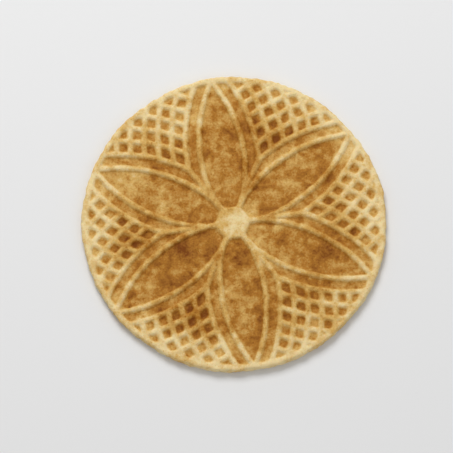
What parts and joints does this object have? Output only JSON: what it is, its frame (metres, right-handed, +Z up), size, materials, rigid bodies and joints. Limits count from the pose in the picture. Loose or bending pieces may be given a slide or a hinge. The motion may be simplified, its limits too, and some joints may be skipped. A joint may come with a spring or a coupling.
{
  "type": "pizzelle wafer cookie",
  "caption": "Thin round wafer cookie, with ribbed petals, a lattice of small pockets and a plain rim pressed into both faces.",
  "frame": {"origin": "on the surface that the wafer lies on, under the middle of its box", "axes": "+Z up through the thickness, +X to the right and +Y away across the shown face"},
  "size_m": [0.1274, 0.1274, 0.004],
  "materials": {
    "baked_wafer": "dry matte baked batter, pale gold on the ribs and golden brown in the pockets"
  },
  "bodies": {
    "root": {"wafer": "baked_wafer"}
  },
  "joints": []
}
